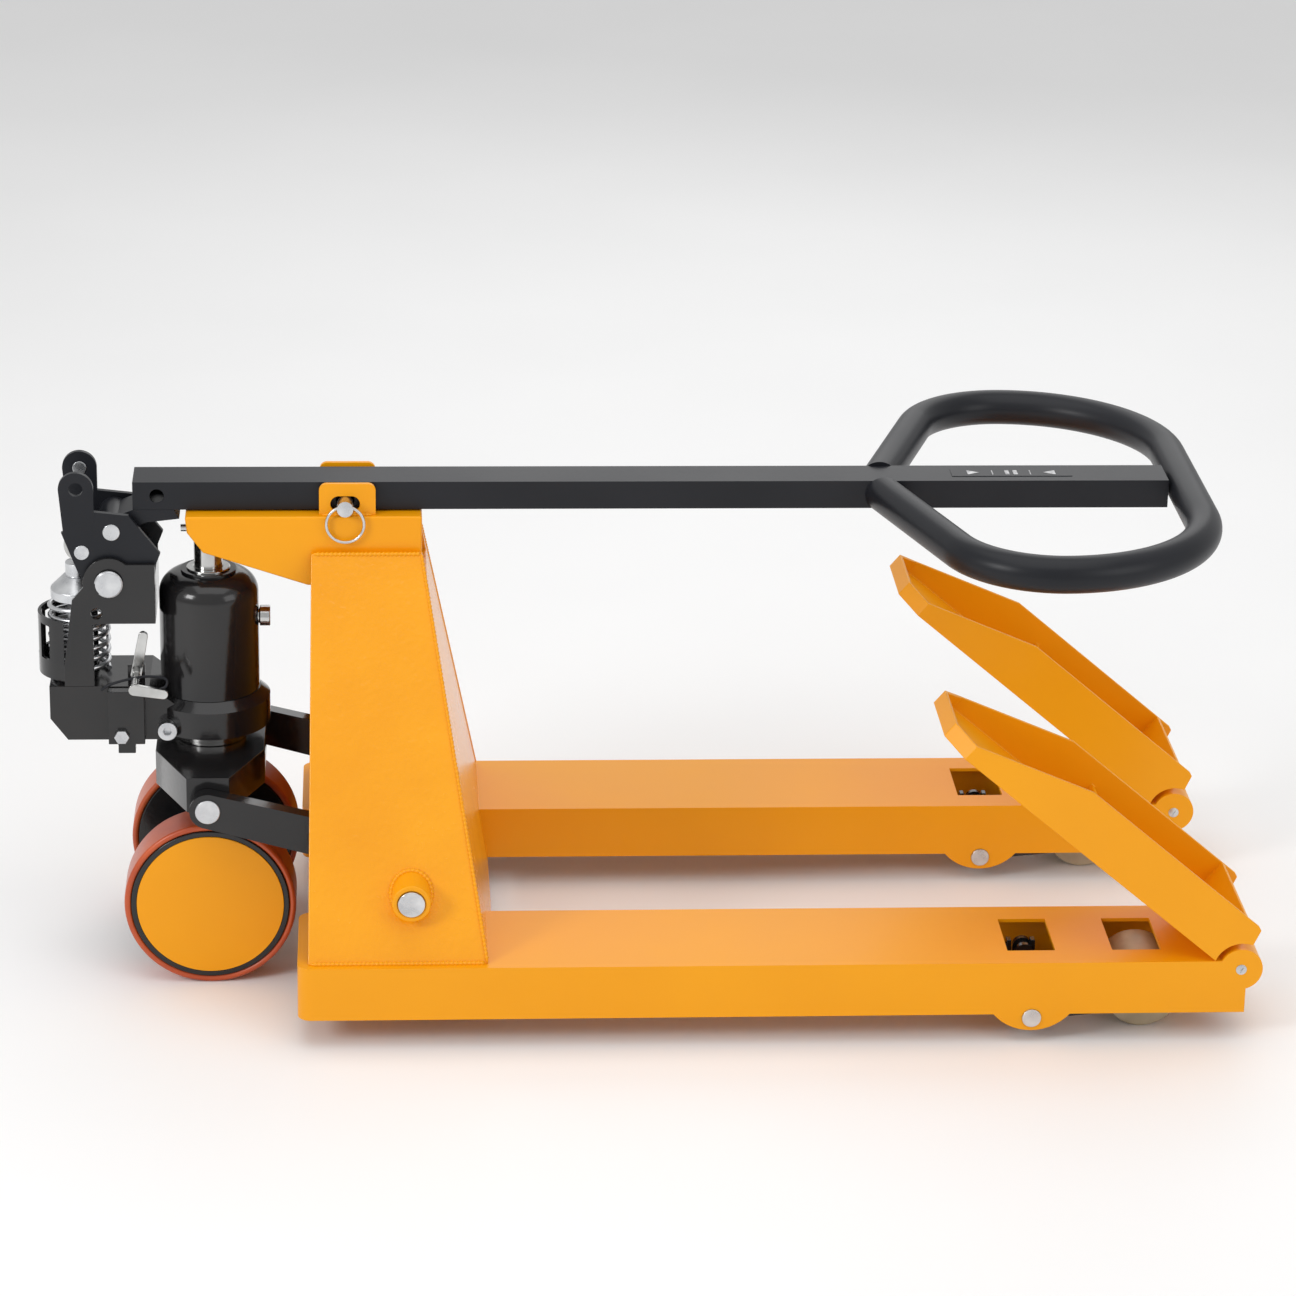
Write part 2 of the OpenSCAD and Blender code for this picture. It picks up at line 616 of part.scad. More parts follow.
module reservoir() place() color(gloss_black) difference() {
    translate([0, 0, flange_z + flange_h]) rotate_extrude() {
        square([reservoir_r, shoulder_z - flange_z - flange_h]);
        translate([0, shoulder_z - flange_z - flange_h]) square([gland_r + 6, dome_z - shoulder_z]);
        translate([gland_r + 6, shoulder_z - flange_z - flange_h]) intersection() {
            circle(reservoir_r - gland_r - 6);
            square([reservoir_r, dome_z - shoulder_z]);
        }
    }
    translate([0, 0, flange_z]) cylinder(r = ram_r + 0.1, h = 300);
    translate([0, 0, dome_z - 12]) cylinder(r = gland_r, h = 20);
    translate([reservoir_r - 12, 0, 372]) rotate([0, 90, 0]) cylinder(r = 8, h = 30);
}

module ram_gland() place() color(steel) translate([0, 0, dome_z - 12]) difference() {
    cylinder(r = gland_r, h = 14);
    translate([0, 0, -1]) cylinder(r = ram_r + 0.1, h = 20);
}

module ram() place() color(steel) {
    translate([0, 0, flange_z + flange_h + 2]) cylinder(r = ram_r, h = plate_top - flange_z - flange_h - 4);
    translate([0, 0, plate_top - 2]) cylinder(r = ram_neck_r, h = ram_top - plate_top + 2);
}

module filler_plug() place() color(steel) translate([reservoir_r - 12, 0, 372]) rotate([0, 90, 0]) {
    cylinder(r = 8, h = 13);
    translate([0, 0, 13]) cylinder(r = 11, h = 11);
}

module bracket_outline() difference() {
    union() {
        translate([lever_x, lever_z]) circle(bracket_r);
        polygon([[lever_x, lever_z - 45], [-54, lever_z - 45], [-54, lever_z + 20], [lever_x, lever_z + 20]]);
        polygon([[lever_x - bracket_r + 1, lever_z - 4], [-140, lever_z - 19], [-150, 330], [-150, nose_top],
            [-119, nose_top], [-119, lever_z - 46], [lever_x + 1, lever_z - 45], [lever_x + 1, lever_z]]);
    }
    translate([-114.9, 391]) circle(6);
    translate([lever_x, lever_z]) circle(lever_pin_r + run_gap / 2);
}
module lever_bracket() place() color(gloss_black) {
    both(bracket_in_y, bracket_in_y + bracket_t) bracket_outline();
    slab(-bracket_in_y, bracket_in_y) translate([-60, lever_z - 45]) square([6, 50]);
}

module lever_pivot_pin() place() color(zinc)
    rod_y(lever_x, lever_z, lever_pin_r, -bracket_in_y - bracket_t - 5, bracket_in_y + bracket_t + 5);

// one ring of the coil for every step along the wire
function coil_ring(i) = let (a = i * 360 / 16,
    z = spring_bottom + spring_wire_r + 1 + i / coil_steps * (spring_top - spring_bottom - 2 * spring_wire_r - 2))
    [for (k = [0 : coil_sides - 1]) let (b = k * 360 / coil_sides, r = spring_r + spring_wire_r * cos(b))
        [piston_x + r * cos(a), r * sin(a), z + spring_wire_r * sin(b)]];
module piston_spring() place() color(zinc) polyhedron(
    points = [for (i = [0 : coil_steps]) for (p = coil_ring(i)) p],
    faces = concat([[for (k = [0 : coil_sides - 1]) k]],
        [for (i = [0 : coil_steps - 1], k = [0 : coil_sides - 1]) let (a = i * coil_sides, n = (k + 1) % coil_sides)
            [a + k, a + coil_sides + k, a + coil_sides + n, a + n]],
        [[for (k = [coil_sides - 1 : -1 : 0]) coil_steps * coil_sides + k]]));

module spring_guard() place() color(gloss_black) difference() {
    translate([piston_x, 0, nose_top + 4]) difference() {
        cylinder(r = guard_r, h = 66);
        translate([0, 0, -1]) cylinder(r = guard_r - guard_t, h = 90);
        translate([-14, -guard_r - 1, -1]) cube([guard_r + 30, 2 * guard_r + 2, 90]);
    }
    for (a = [-36, 0, 36]) translate([piston_x, 0, nose_top + 24]) rotate([0, 0, 180 + a])
        translate([0, -8, 0]) cube([guard_r + 5, 16, 38]);
}

module pump_piston() place() color(zinc) translate([piston_x, 0, 0]) {
    translate([0, 0, nose_top - 2]) cylinder(r = piston_r, h = spring_top - nose_top + 3);
    translate([0, 0, spring_top]) cylinder(r = cap_r, h = 10);
    translate([0, 0, spring_top + 10]) cylinder(r1 = cap_r, r2 = 15, h = 14);
    translate([0, 0, spring_top + 24]) cylinder(r = 13, h = cap_top - spring_top - 24.6);
}

module valve_lug() place() color(gloss_black) slab(-nose_half - 14, -nose_half) difference() {
    union() {
        translate([-105, 250]) square([38, 59]);
        translate([-95, 240]) square([18, 11]);
    }
    translate([bolt_x, bolt_z]) circle(bolt_r + run_gap);
}

module base_fasteners() place() color(zinc) {
    rod_y(bolt_x, bolt_z, bolt_r, -nose_half - 14, -nose_half + 10);
    translate([bolt_x, -nose_half - 14, bolt_z]) rotate([90, 0, 0]) cylinder(r = 8, h = 6, $fn = 6);
    rod_y(screw_x, screw_z, bolt_r, -nose_half - 0.5, -nose_half + 10);
    difference() {
        rod_y(screw_x, screw_z, screw_head_r, -nose_half - 14, -nose_half);
        translate([screw_x, -nose_half - 8, screw_z]) rotate([90, 0, 0]) cylinder(r = 4.6, h = 10, $fn = 6);
    }
}

module release_lever() place() color(steel) {
    slab(-36, -31) link([release_x, release_z], release_r + 2, [release_x + 8, release_z + 43], 5);
    rod_y(release_x, release_z, release_r, -nose_half - 30, -15);
    translate([0, -nose_half - 33, 0]) slab(-2, 3)
        link([release_x, release_z], release_r + 2, [release_x + 30, release_z - 5], 5);
}

// ---- pump lever ----

module lever_outline() {
    link([lock_x, lock_z], 18, [lock_x + 2, fold_z], 16);
    polygon([[lock_x - 16, fold_z], [lever_x - 32, lever_z + 10], [lever_x - 15, lever_z - 15], [lever_x + 15, lever_z - 15],
        [-54, lever_z + 15], [-48, lever_z + 30], [-80, bar_bottom - 2], [lock_x + 18, bar_bottom + 2], [lock_x + 18, fold_z]]);
    translate([lever_x, lever_z]) circle(lever_pin_r + 8);
}
module pump_lever() place() color(satin_black) {
    difference() {
        union() {
            both(lever_in_y, lever_out_y) lever_outline();
            slab(-lever_in_y, lever_in_y) translate([-75, lever_z + 17]) square([13, 9]);
        }
        rod_y(lock_x, lock_z, lock_hole_r + run_gap, -100, 100);
        rod_y(fold_x, fold_z, fold_pin_r + run_gap / 2, -100, 100);
        rod_y(press_x, press_z, press_pin_r + run_gap / 2, -100, 100);
        rod_y(lever_x, lever_z, lever_pin_r + run_gap, -100, 100);
    }
}

module lever_pins() place() color(zinc) {
    // short enough to pass between the bracket's plates
    rod_y(fold_x, fold_z, fold_pin_r, -lever_out_y - side_gap / 2, lever_out_y + side_gap / 2);
    rod_y(press_x, press_z, press_pin_r, -lever_out_y - side_gap / 2, lever_out_y + side_gap / 2);
}

module pressure_roller() place() color(steel) difference() {
    rod_y(press_x, press_z, press_r, -14, 14);
    rod_y(press_x, press_z, press_pin_r + run_gap / 2, -20, 20);
}

module handle_lock_plunger() place() color(zinc) {
    rod_y(lock_x, lock_z, lock_hole_r, lever_in_y - 1, knob_y);
    rod_y(lock_x, lock_z, 11, knob_y, knob_y + 8);
}

// ---- drawbar ----

module loop_half() {
    knee_turn = atan2(loop_y, loop_knee_x - loop_root_x);
    run = loop_knee_r * tan(knee_turn / 2);
    u = [cos(knee_turn), sin(knee_turn)];
    root = [loop_root_x, 0];
    knee_start = [loop_knee_x, loop_y] - u * run;
    // root to knee
    translate([root[0], root[1], 0]) rotate([0, 90, knee_turn]) cylinder(r = loop_r, h = norm(knee_start - root));
    // knee
    translate([loop_knee_x + run, loop_y - loop_knee_r, 0]) rotate([0, 0, 90])
        rotate_extrude(angle = knee_turn) translate([loop_knee_r, 0]) circle(loop_r);
    // side bar
    translate([loop_knee_x + run, loop_y, 0]) rotate([0, 90, 0])
        cylinder(r = loop_r, h = loop_reach - loop_corner_r - loop_knee_x - run);
    // corner
    translate([loop_reach - loop_corner_r, loop_y - loop_corner_r, 0])
        rotate_extrude(angle = 90) translate([loop_corner_r, 0]) circle(loop_r);
    // end bar
    translate([loop_reach, 0, 0]) rotate([-90, 0, 0]) cylinder(r = loop_r, h = loop_y - loop_corner_r);
}

module grip_loop() place() color(satin_black) difference() {
    $fn = 32;
    translate([0, 0, bar_mid]) {
        loop_half();
        mirror([0, 1, 0]) loop_half();
    }
    translate([0, -bar_w / 2, bar_bottom - 10]) cube([loop_reach - loop_r - 2, bar_w, bar_h + 20]);
}

module drawbar_tube() place() color(satin_black) difference() {
    translate([bar_end, -bar_w / 2, bar_bottom]) cube([loop_reach - loop_r - 2 - bar_end, bar_w, bar_h]);
    translate([bar_end + 4, -bar_w / 2 + bar_wall, bar_bottom + bar_wall])
        cube([loop_reach - loop_r - 10 - bar_end, bar_w - 2 * bar_wall, bar_h - 2 * bar_wall]);
    rod_y(fold_x + lock_reach, bar_mid, lock_hole_r + run_gap, -50, 50);
    rod_y(latch_pin_x, latch_pin_z, latch_pin_r + 1, -50, 0);
}

module fold_block() place() color(satin_black) difference() {
    union() {
        rod_y(fold_x, fold_z, knuckle_r, -lever_in_y + side_gap, lever_in_y - side_gap);
        slab(-bar_w / 2, bar_w / 2) polygon([[fold_x, fold_z - 10], [-62, bar_bottom - 14], [-28, bar_bottom - 10],
            [-34, bar_bottom], [bar_end, bar_bottom], [fold_x, fold_z + 12]]);
    }
    rod_y(fold_x, fold_z, fold_pin_r + run_gap, -100, 100);
}

module position_plate() place() color(satin_black)
    translate([decal_x[0], -decal_w / 2, bar_bottom + bar_h]) cube([decal_x[1] - decal_x[0], decal_w, 0.5]);

module latch_pin() place() color(zinc) difference() {
    rod_y(latch_pin_x, latch_pin_z, latch_pin_r, -ring_hole_y - 6, -lug_inner_y);
    translate([latch_pin_x - 20, -ring_hole_y, latch_pin_z]) rotate([0, 90, 0]) cylinder(r = 4, h = 40);
}
module split_ring() place() color(zinc) translate([latch_pin_x, -ring_hole_y, latch_pin_z + 1 - ring_r])
    rotate([90, 0, 0]) rotate_extrude() translate([ring_r, 0]) circle(ring_wire_r);

right_fork();
left_fork();
right_side_plate();
left_side_plate();
front_plate();
head();
latch_bracket();
socket_pin();
rocker_bosses();
rocker_pins();
tip_hinge_pins();
roller_pivot_pins();
rocker();
rear_rod_pins();
trunnion_yoke();
trunnion_pins();
thrust_bearing();
pump_base();
reservoir();
ram_gland();
filler_plug();
wheel_axle();
lever_bracket();
lever_pivot_pin();
piston_spring();
spring_guard();
valve_lug();
base_fasteners();
ram();
pump_piston();
release_lever();
right_wheel_rim();
right_wheel_tyre();
right_wheel_cover();
right_wheel_bearings();
left_wheel_rim();
left_wheel_tyre();
left_wheel_cover();
left_wheel_bearings();
pump_lever();
lever_pins();
pressure_roller();
handle_lock_plunger();
drawbar_tube();
grip_loop();
fold_block();
position_plate();
latch_pin();
split_ring();
right_push_rod();
left_push_rod();
right_roller_frame();
left_roller_frame();
right_roller_axle();
left_roller_axle();
right_load_roller();
left_load_roller();
right_fork_tip();
left_fork_tip();
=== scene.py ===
import json
import math

import bmesh
import bpy
import numpy as np
from mathutils import Matrix, Vector


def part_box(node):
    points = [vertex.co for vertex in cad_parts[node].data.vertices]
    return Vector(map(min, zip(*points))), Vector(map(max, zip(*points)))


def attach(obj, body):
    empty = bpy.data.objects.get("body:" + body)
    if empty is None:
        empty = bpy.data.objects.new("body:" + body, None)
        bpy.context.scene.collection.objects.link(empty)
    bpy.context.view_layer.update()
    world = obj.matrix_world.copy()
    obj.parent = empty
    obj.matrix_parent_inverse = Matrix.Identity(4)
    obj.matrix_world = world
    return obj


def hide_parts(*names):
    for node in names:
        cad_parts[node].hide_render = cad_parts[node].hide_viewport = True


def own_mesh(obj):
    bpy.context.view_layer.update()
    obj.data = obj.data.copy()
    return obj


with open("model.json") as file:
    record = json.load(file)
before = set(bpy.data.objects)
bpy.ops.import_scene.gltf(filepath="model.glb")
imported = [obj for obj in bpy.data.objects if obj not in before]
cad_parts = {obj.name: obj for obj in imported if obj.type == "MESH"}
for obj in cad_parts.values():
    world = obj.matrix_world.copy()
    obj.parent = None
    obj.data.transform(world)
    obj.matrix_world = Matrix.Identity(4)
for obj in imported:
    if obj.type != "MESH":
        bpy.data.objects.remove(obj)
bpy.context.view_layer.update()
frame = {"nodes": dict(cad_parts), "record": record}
mm = 0.001
print("frame loaded:", len(frame["nodes"]), "CAD nodes")

# camera and lights

cameraSettings = {"target": (0.00875, 0.0, 0.333), "distance": 4.69, "yaw": 3.86, "down": 21.15,
                  "roll": 1.14, "lens": 122.75, "sensor": 36.0, "farEnd": 60.0}


def makeCamera(s):
    # forward from yaw and elevation, then right and up turned by the roll about it
    yaw, down, roll = (math.radians(s[k]) for k in ("yaw", "down", "roll"))
    forward = Vector((math.sin(yaw) * math.cos(down), math.cos(yaw) * math.cos(down), -math.sin(down)))
    right = forward.cross(Vector((0, 0, 1))).normalized()
    up = right.cross(forward)
    turnedRight = right * math.cos(roll) + up * math.sin(roll)
    turnedUp = up * math.cos(roll) - right * math.sin(roll)
    camera = bpy.data.objects.new("camera", bpy.data.cameras.new("camera"))
    camera.data.lens = s["lens"]
    camera.data.sensor_width = s["sensor"]
    camera.data.clip_end = s["farEnd"]
    turn = Matrix((turnedRight, turnedUp, -forward)).transposed().to_4x4()
    camera.matrix_world = Matrix.Translation(Vector(s["target"]) - forward * s["distance"]) @ turn
    bpy.context.scene.collection.objects.link(camera)
    bpy.context.scene.camera = camera


lightSettings = [
    {"name": "topSoftbox", "place": (0.0, -0.4, 3.2), "size": 3.2, "watts": 34},
    {"name": "leftSoftbox", "place": (-2.6, -2.0, 1.9), "size": 0.9, "watts": 34},
    {"name": "rightSoftbox", "place": (2.6, -2.4, 1.6), "size": 1.8, "watts": 16},
    {"name": "backSoftbox", "place": (0.6, 2.6, 2.0), "size": 2.2, "watts": 12},
]
studioSettings = {"aim": (0.0, 0.0, 0.25), "worldStrength": 0.62}


def makeLights(rows, s):
    # each lamp's -Z points from its place to the aim
    for row in rows:
        lamp = bpy.data.lights.new(row["name"], "AREA")
        lamp.size = row["size"]
        lamp.energy = row["watts"]
        thing = bpy.data.objects.new(row["name"], lamp)
        thing.location = row["place"]
        aim = Vector(s["aim"]) - Vector(row["place"])
        thing.rotation_euler = aim.to_track_quat("-Z", "Y").to_euler()
        bpy.context.scene.collection.objects.link(thing)
    world = bpy.data.worlds.new("studio")
    world.use_nodes = True
    background = world.node_tree.nodes["Background"]
    background.inputs["Color"].default_value = (1, 1, 1, 1)
    background.inputs["Strength"].default_value = s["worldStrength"]
    bpy.context.scene.world = world
    bpy.context.scene.view_settings.view_transform = "Standard"


makeCamera(cameraSettings)
makeLights(lightSettings, studioSettings)
print("camera and light ready")

# shader maths: a wire is one output socket, and expressions on wires add Math nodes


class Wire:
    def __init__(self, tree, socket):
        self.tree = tree
        self.socket = socket

    def add(self, kind, settings=None, values=None, output=0):
        # any node: its settings first, then numbers or wires into its inputs
        node = self.tree.nodes.new(kind)
        for key, value in (settings or {}).items():
            setattr(node, key, value)
        for key, value in (values or {}).items():
            if isinstance(value, Wire):
                self.tree.links.new(value.socket, node.inputs[key])
            else:
                node.inputs[key].default_value = value
        return Wire(self.tree, node.outputs[output])

    def maths(self, operation, a, b):
        return self.add("ShaderNodeMath", {"operation": operation}, {0: a, 1: b})

    def __add__(self, other):
        return self.maths("ADD", self, other)

    def __radd__(self, other):
        return self.maths("ADD", other, self)

    def __mul__(self, other):
        return self.maths("MULTIPLY", self, other)

    def __rmul__(self, other):
        return self.maths("MULTIPLY", other, self)

    def noise(self, scale, detail):
        # soft blotches, about one for each metre divided by the scale
        return self.add("ShaderNodeTexNoise", None, {"Vector": self, "Scale": scale, "Detail": detail})

    def band(self, low, high):
        # 0 below low, 1 above high, straight between
        return self.add("ShaderNodeMapRange", None, {"Value": self, "From Min": low, "From Max": high})

    def tint(self, first, second):
        # first where the wire is 0, second where it is 1, mixed straight between
        return self.add("ShaderNodeMix", {"data_type": "RGBA"}, {0: self, 6: first, 7: second}, 2)


surfaceSettings = {"bandLow": 0.3, "bandHigh": 0.7, "broadDetail": 4.0, "fineDetail": 2.0,
                   "bumpStrength": 0.6, "coatRoughness": 0.12, "plainShine": 0.5}

finishes = {
    "yellow_paint": {"low": (0.86, 0.335, 0.0, 1), "high": (0.90, 0.365, 0.0005, 1), "blotch": 5,
                     "grain": 420, "depth": 0.00010, "rough": (0.34, 0.12), "metal": 0, "coat": 0.05,
                     "shine": 0.3},
    "yellow_peel": {"low": (0.85, 0.325, 0.0, 1), "high": (0.91, 0.37, 0.0005, 1), "blotch": 9,
                    "grain": 150, "depth": 0.0016, "rough": (0.22, 0.12), "metal": 0, "coat": 0.15,
                    "shine": 0.5},
    "gloss_black": {"low": (0.007, 0.007, 0.008, 1), "high": (0.014, 0.013, 0.013, 1), "blotch": 14,
                    "grain": 160, "depth": 0.00022, "rough": (0.14, 0.16), "metal": 0, "coat": 0.35,
                    "shine": 0.35},
    "satin_black": {"low": (0.008, 0.009, 0.012, 1), "high": (0.014, 0.015, 0.019, 1), "blotch": 7,
                    "grain": 900, "depth": 0.00004, "rough": (0.33, 0.12), "metal": 0, "coat": 0,
                    "shine": 0.28},
    "zinc_plate": {"low": (0.50, 0.51, 0.53, 1), "high": (0.72, 0.73, 0.74, 1), "blotch": 60,
                   "grain": 1200, "depth": 0.00003, "rough": (0.24, 0.22), "metal": 1, "coat": 0},
    "bright_steel": {"low": (0.46, 0.46, 0.45, 1), "high": (0.66, 0.66, 0.65, 1), "blotch": 40,
                     "grain": 1500, "depth": 0.00002, "rough": (0.14, 0.16), "metal": 1, "coat": 0},
    "polyurethane": {"low": (0.40, 0.050, 0.010, 1), "high": (0.56, 0.095, 0.018, 1), "blotch": 18,
                     "grain": 300, "depth": 0.00008, "rough": (0.28, 0.20), "metal": 0, "coat": 0.1},
    "nylon": {"low": (0.36, 0.29, 0.18, 1), "high": (0.58, 0.49, 0.35, 1), "blotch": 26,
              "grain": 350, "depth": 0.00010, "rough": (0.42, 0.20), "metal": 0, "coat": 0},
    "decal_ink": {"low": (0.30, 0.30, 0.31, 1), "high": (0.74, 0.74, 0.75, 1), "blotch": 260,
                  "grain": 900, "depth": 0.00003, "rough": (0.45, 0.20), "metal": 0, "coat": 0},
    "pale_floor": {"low": (0.94, 0.94, 0.94, 1), "high": (0.96, 0.96, 0.96, 1), "blotch": 2,
                   "grain": 60, "depth": 0.00002, "rough": (0.55, 0.10), "metal": 0, "coat": 0},
}


def makeFinish(name, s, surface):
    # colour and roughness drift with a broad noise, and a fine noise raises the surface
    material = bpy.data.materials.new(name)
    material.use_nodes = True
    tree = material.node_tree
    shader = tree.nodes["Principled BSDF"]
    start, swing = s["rough"]
    place = Wire(tree, None).add("ShaderNodeTexCoord", output="Object")
    broad = place.noise(s["blotch"], surface["broadDetail"])
    fine = place.noise(s["grain"], surface["fineDetail"])
    colour = broad.band(surface["bandLow"], surface["bandHigh"]).tint(s["low"], s["high"])
    rough = broad * swing + fine * (swing / 2) + (start - swing / 2)
    bumpValues = {"Strength": surface["bumpStrength"], "Distance": s["depth"], "Height": fine}
    bump = place.add("ShaderNodeBump", None, bumpValues)
    for socket, wire in (("Base Color", colour), ("Roughness", rough), ("Normal", bump)):
        tree.links.new(wire.socket, shader.inputs[socket])
    shader.inputs["Metallic"].default_value = s["metal"]
    shader.inputs["Coat Weight"].default_value = s["coat"]
    shader.inputs["Coat Roughness"].default_value = surface["coatRoughness"]
    shader.inputs["Specular IOR Level"].default_value = s.get("shine", surface["plainShine"])
    return material


materials = {name: makeFinish(name, s, surfaceSettings) for name, s in finishes.items()}
print("materials ready:", len(materials))

# CAD nodes: each takes its slot's finish, and edges that show are rounded on a copy

slotOf = {row["node"]: row["material_slot"] for row in frame["record"]["subparts"]}
bodyOf = {node: body for body, nodes in frame["record"]["behaviour"]["bodies"].items() for node in nodes}
peelNodes = ["right_side_plate", "left_side_plate", "front_plate"]

edgeRadius = {  # millimetres
    "right_fork": 2.2, "left_fork": 2.2, "right_fork_tip": 1.6, "left_fork_tip": 1.6,
    "right_side_plate": 1.5, "left_side_plate": 1.5, "front_plate": 1.2, "head": 4.0,
    "latch_bracket": 1.0, "rocker_bosses": 2.0, "lever_bracket": 1.0, "pump_lever": 1.0,
    "trunnion_yoke": 2.5, "rocker": 2.0, "pump_base": 2.5, "drawbar_tube": 2.4, "fold_block": 1.5,
    "spring_guard": 0.6, "right_push_rod": 1.0, "left_push_rod": 1.0, "right_roller_frame": 1.0,
    "left_roller_frame": 1.0, "rocker_pins": 1.2, "lever_pivot_pin": 1.2, "roller_pivot_pins": 1.0,
    "tip_hinge_pins": 0.8, "lever_pins": 1.0, "trunnion_pins": 1.0, "rear_rod_pins": 0.8,
    "right_wheel_tyre": 6.0, "left_wheel_tyre": 6.0, "right_wheel_rim": 1.2, "left_wheel_rim": 1.2,
    "right_wheel_cover": 0.5, "left_wheel_cover": 0.5, "right_load_roller": 3.0,
    "left_load_roller": 3.0, "pump_piston": 1.5, "ram_gland": 1.0, "valve_lug": 1.0,
    "base_fasteners": 0.7, "filler_plug": 1.0, "thrust_bearing": 1.0, "release_lever": 0.8,
    "pressure_roller": 1.0, "latch_pin": 0.8, "handle_lock_plunger": 0.6,
}
roundSettings = {"mergeDistance": 2e-6, "flatDegrees": 0.6, "edgeDegrees": 40, "segments": 3,
                 "smoothDegrees": 34}


def finishOf(node):
    # the slot's finish, or the rough-coated paint on the tall plates
    return materials["yellow_peel" if node in peelNodes else slotOf[node]]


def smoothByAngle(piece, degrees):
    # an edge is smooth where its two faces turn by less than the angle, and sharp anywhere else
    piece.data.shade_smooth()
    edges = bmesh.new()
    edges.from_mesh(piece.data)
    for edge in edges.edges:
        faces = edge.link_faces
        edge.smooth = len(faces) == 2 and edge.calc_face_angle(0) < math.radians(degrees)
    edges.to_mesh(piece.data)
    edges.free()


def roundedCopy(node, radius, s):
    # the same solid with its triangles merged, flat faces joined and sharp edges rounded
    source = frame["nodes"][node]
    mesh = source.data.copy()
    mesh.materials.clear()
    work = bmesh.new()
    work.from_mesh(mesh)
    bmesh.ops.remove_doubles(work, verts=work.verts, dist=s["mergeDistance"])
    flat = math.radians(s["flatDegrees"])
    bmesh.ops.dissolve_limit(work, angle_limit=flat, verts=work.verts, edges=work.edges)
    work.to_mesh(mesh)
    work.free()
    piece = bpy.data.objects.new("round_" + node, mesh)
    bpy.context.scene.collection.objects.link(piece)
    smoothByAngle(piece, s["smoothDegrees"])
    bevel = piece.modifiers.new("edges", "BEVEL")
    bevel.width = radius * mm
    bevel.segments = s["segments"]
    bevel.limit_method = "ANGLE"
    bevel.angle_limit = math.radians(s["edgeDegrees"])
    bevel.harden_normals = True
    mesh.materials.append(finishOf(node))
    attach(piece, bodyOf[node])
    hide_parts(node)


for node, thing in frame["nodes"].items():
    thing.data.materials.clear()
    thing.data.materials.append(finishOf(node))
    if node in edgeRadius:
        roundedCopy(node, edgeRadius[node], roundSettings)
print("CAD nodes finished:", len(edgeRadius), "with rounded edges")

# surfaces: grids of points from numpy
gridSettings = {"smoothDegrees": 50}


def showPiece(name, mesh, finish, body):
    # a new object at the origin with one finish, moving with one body
    piece = bpy.data.objects.new(name, mesh)
    bpy.context.scene.collection.objects.link(piece)
    mesh.materials.append(materials[finish])
    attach(piece, body)
    return piece


def gridMesh(name, points, closed, finish, body):
    # points has the shape (along, across, 3): point (i, j) joins (i, j + 1), (i + 1, j + 1) and (i + 1, j)
    # in a quad, across always wraps round, and along wraps too or else gets one flat cap at each end
    along, across = points.shape[:2]
    i, j = np.meshgrid(np.arange(along if closed else along - 1), np.arange(across), indexing="ij")
    a = i * across + j
    b = i * across + (j + 1) % across
    c = ((i + 1) % along) * across + (j + 1) % across
    d = ((i + 1) % along) * across + j
    faces = np.stack([a, b, c, d], -1).reshape(-1, 4).tolist()
    if not closed:
        faces += [list(range(across))[::-1], list(range((along - 1) * across, along * across))]
    mesh = bpy.data.meshes.new(name)
    mesh.from_pydata(points.reshape(-1, 3).tolist(), [], faces)
    work = bmesh.new()
    work.from_mesh(mesh)
    bmesh.ops.recalc_face_normals(work, faces=work.faces)
    work.to_mesh(mesh)
    work.free()
    piece = showPiece(name, mesh, finish, body)
    smoothByAngle(piece, gridSettings["smoothDegrees"])
    return piece


def tubePoints(path, radius, sides, closed=False):
    # a circle carried along the path: its side is the path's direction crossed with a fixed guide, which
    # is the direction that the path runs along least
    path = np.asarray(path, float)
    if closed:
        ahead = np.roll(path, -1, 0) - np.roll(path, 1, 0)
    else:
        ahead = np.gradient(path, axis=0)
    ahead /= np.linalg.norm(ahead, axis=1, keepdims=True)
    spread = ahead.T @ ahead
    guide = np.linalg.eigh(spread)[1][:, 0]
    side = np.cross(ahead, guide)
    side /= np.linalg.norm(side, axis=1, keepdims=True)
    rise = np.cross(side, ahead)
    angle = np.linspace(0, 2 * np.pi, sides, endpoint=False)
    radius = np.broadcast_to(np.asarray(radius, float), (len(path),))
    ring = np.cos(angle)[None, :, None] * side[:, None] + np.sin(angle)[None, :, None] * rise[:, None]
    return path[:, None] + ring * radius[:, None, None]


def tube(name, path, radius, finish, body, sides, closed=False):
    # the carried circle as a mesh, capped at both ends unless the path closes on itself
    points = tubePoints(path, radius, sides, closed)
    return gridMesh(name, points, closed, finish, body)


# grip loop
loopSettings = {"radius": 19.0, "rootX": 242.75, "kneeX": 331.75, "kneeRadius": 105.0,
                "cornerRadius": 165.0, "barHalf": 25.0, "sides": 48,
                "straightSteps": 8, "kneeSteps": 28, "cornerSteps": 40, "endSteps": 7}


